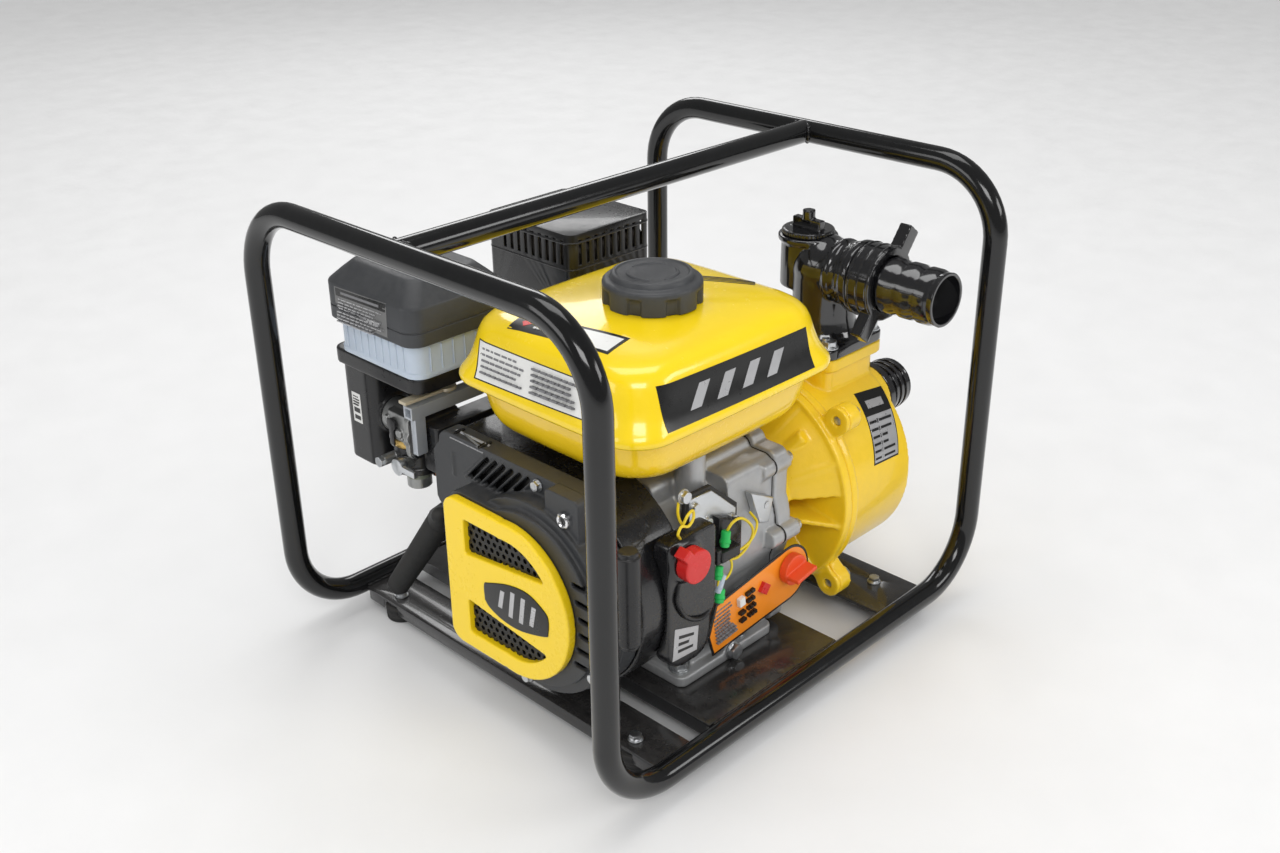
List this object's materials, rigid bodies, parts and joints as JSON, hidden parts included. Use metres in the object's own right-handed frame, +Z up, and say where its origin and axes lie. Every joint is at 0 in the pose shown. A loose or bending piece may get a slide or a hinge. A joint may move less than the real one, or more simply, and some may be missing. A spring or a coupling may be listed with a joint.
{
  "type": "portable fire pump",
  "caption": "Engine-driven centrifugal water pump in a tubular carrying cage, with recoil starter, fuel tank, air cleaner, silencer and barbed hose ports.",
  "frame": {"origin": "centre of the footprint, on the ground under the rubber feet", "axes": "+Z up, +X from the recoil starter to the pump, +Y from the fuel tank side to the cylinder head side"},
  "size_m": [0.518, 0.44, 0.439],
  "materials": {
    "cage_black": "gloss black paint",
    "plate_black": "gloss black paint on sheet steel",
    "rubber": "matt moulded rubber",
    "zinc": "bright zinc plate",
    "cast_alloy": "as-cast alloy, satin",
    "machined_steel": "machined steel",
    "cast_iron": "machined casting",
    "ceramic": "glazed ceramic and plated steel",
    "black_rubber_boot": "satin moulded rubber",
    "shroud_black": "satin black",
    "charcoal_plastic": "fine-grained moulded plastic",
    "yellow_plastic": "gloss moulded plastic",
    "mesh_black": "perforated mesh",
    "chrome": "bright chrome",
    "nylon_black": "moulded nylon",
    "carb_zinc": "die-cast zinc, passivated",
    "smoke_poly": "milky translucent plastic",
    "cover_black": "satin moulded plastic",
    "foam": "foam and pleated paper",
    "muffler_black": "heat-resistant black",
    "tank_yellow": "gloss enamel",
    "cap_grey": "moulded plastic",
    "switch_red": "gloss moulded plastic",
    "dipstick_orange": "moulded plastic",
    "wire_yellow": "wire insulation and connectors",
    "tag_orange": "printed plastic card",
    "pump_yellow": "enamel over a casting",
    "pump_black": "gloss glass-filled plastic"
  },
  "bodies": {
    "frame": {"frame_loop": "cage_black", "top_bar": "cage_black", "front_cross_plate": "plate_black", "engine_base_plate": "plate_black", "rear_cross_plate": "plate_black", "rubber_feet": "rubber", "foot_bolts": "zinc", "engine_mount_bolts": "zinc", "crankcase": "cast_alloy", "crankcase_cover": "cast_alloy", "housing_bolts": "zinc", "main_bearings": "machined_steel", "cylinder_head": "cast_alloy", "rocker_cover": "shroud_black", "spark_plug": "ceramic", "plug_cap": "black_rubber_boot", "blower_housing": "shroud_black", "recoil_housing": "charcoal_plastic", "grille_ring": "yellow_plastic", "grille_mesh": "mesh_black", "rope_eyelets": "chrome", "intake_manifold": "nylon_black", "carburettor": "carb_zinc", "control_bracket": "zinc", "air_cleaner_base": "cover_black", "air_cleaner_body": "smoke_poly", "air_cleaner_cover": "cover_black", "filter_element": "foam", "muffler": "muffler_black", "muffler_guard": "muffler_black", "fuel_tank": "tank_yellow", "oil_drain_bolt": "zinc", "switch_body": "nylon_black", "wiring": "wire_yellow", "tag_plate": "tag_orange", "pump_adapter": "pump_yellow", "pump_casing": "pump_yellow", "casing_bolts": "zinc", "volute": "cast_iron", "shaft_seal": "machined_steel", "discharge_elbow": "pump_black", "discharge_hose_barb": "pump_black", "suction_hose_barb": "pump_black"},
    "rotor": {"crankshaft": "machined_steel", "flywheel": "cast_iron", "impeller": "cast_iron"},
    "camshaft": {"camshaft": "machined_steel"},
    "piston": {"piston": "cast_alloy"},
    "recoil_pulley": {"recoil_pulley": "nylon_black"},
    "starter_grip": {"starter_grip": "nylon_black"},
    "choke_lever": {"choke_lever": "nylon_black"},
    "fuel_lever": {"fuel_lever": "nylon_black"},
    "throttle_lever": {"throttle_lever": "zinc"},
    "wing_nut": {"wing_nut": "chrome"},
    "fuel_cap": {"fuel_cap": "cap_grey"},
    "dipstick": {"dipstick": "dipstick_orange"},
    "switch_knob": {"switch_knob": "switch_red"},
    "priming_cap": {"priming_cap": "pump_black"},
    "discharge_nut": {"discharge_nut": "pump_black"},
    "check_valve_flap": {"check_valve_flap": "rubber"}
  },
  "joints": [
    {"name": "crank_spin", "type": "hinge", "parent": "frame", "child": "rotor", "pos_m": [0, -0.068, 0.134], "axis": [1, 0, 0], "continuous": true},
    {"name": "cam_spin", "type": "hinge", "parent": "frame", "child": "camshaft", "pos_m": [0, -0.04518, 0.08506], "axis": [1, 0, 0], "continuous": true},
    {"name": "piston_slide", "type": "slide", "parent": "frame", "child": "piston", "axis": [0, 0.9063, 0.4226], "range_m": [-0.054, 0]},
    {"name": "starter_pull", "type": "slide", "parent": "frame", "child": "starter_grip", "axis": [0, -1, 0], "range_m": [0, 0.8]},
    {"name": "pulley_spin", "type": "hinge", "parent": "frame", "child": "recoil_pulley", "pos_m": [0, -0.068, 0.134], "axis": [1, 0, 0], "range_deg": [0, 1180]},
    {"name": "choke_turn", "type": "hinge", "parent": "frame", "child": "choke_lever", "pos_m": [0, 0.136, 0.219], "axis": [1, 0, 0], "range_deg": [0, 60]},
    {"name": "fuel_valve_turn", "type": "hinge", "parent": "frame", "child": "fuel_lever", "pos_m": [0, 0.121, 0.184], "axis": [1, 0, 0], "range_deg": [0, 80]},
    {"name": "throttle_turn", "type": "hinge", "parent": "frame", "child": "throttle_lever", "pos_m": [-0.141, 0.098, 0], "axis": [0, 0, 1], "range_deg": [0, 50]},
    {"name": "wing_nut_turn", "type": "hinge", "parent": "frame", "child": "wing_nut", "pos_m": [-0.135, 0.14, 0], "axis": [0, 0, 1], "range_deg": [0, 1080]},
    {"name": "fuel_cap_turn", "type": "hinge", "parent": "frame", "child": "fuel_cap", "pos_m": [-0.046, -0.066, 0], "axis": [0, 0, 1], "range_deg": [0, 90]},
    {"name": "dipstick_turn", "type": "hinge", "parent": "frame", "child": "dipstick", "pos_m": [0.042, 0, 0.092], "axis": [0, -1, 0], "range_deg": [0, 900]},
    {"name": "switch_turn", "type": "hinge", "parent": "frame", "child": "switch_knob", "pos_m": [-0.116, 0, 0.176], "axis": [0, -1, 0], "range_deg": [-45, 0]},
    {"name": "priming_cap_turn", "type": "hinge", "parent": "frame", "child": "priming_cap", "pos_m": [0.174, -0.056, 0], "axis": [0, 0, 1], "range_deg": [0, 720]},
    {"name": "discharge_nut_turn", "type": "hinge", "parent": "frame", "child": "discharge_nut", "pos_m": [0.174, 0, 0.329], "axis": [0, -1, 0], "range_deg": [0, 900]},
    {"name": "check_valve_swing", "type": "hinge", "parent": "frame", "child": "check_valve_flap", "pos_m": [0.181, 0, 0.2145], "axis": [0, 1, 0], "range_deg": [0, 25]}
  ],
  "couplings": [
    {"joint": "cam_spin", "follows": "crank_spin", "ratio": -0.5},
    {"joint": "pulley_spin", "follows": "starter_pull", "rad_per_m": 25.641}
  ]
}
